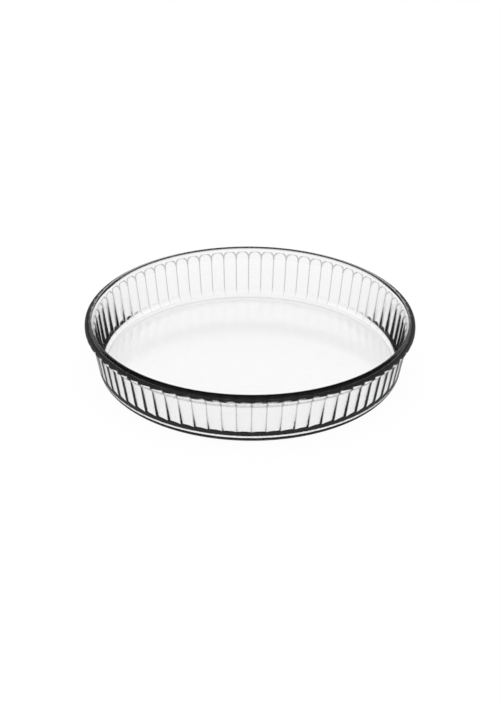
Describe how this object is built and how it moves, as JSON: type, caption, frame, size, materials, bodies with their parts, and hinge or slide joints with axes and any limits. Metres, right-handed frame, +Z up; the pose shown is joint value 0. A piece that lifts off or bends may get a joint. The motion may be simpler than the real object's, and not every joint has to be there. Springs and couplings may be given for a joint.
{
  "type": "pie dish",
  "caption": "Round clear glass pie dish with an upright fluted wall, a rounded rim and a flat base, for baking and serving pies and flans.",
  "frame": {"origin": "middle of the foot ring, on the surface that the dish stands on", "axes": "+Z up along the axis of the round dish; -Y is the side that faces the viewer in the picture"},
  "size_m": [0.26, 0.26, 0.0445],
  "materials": {
    "clear_glass": "clear colourless polished pressed glass"
  },
  "bodies": {
    "root": {"glass_dish": "clear_glass"}
  },
  "joints": []
}
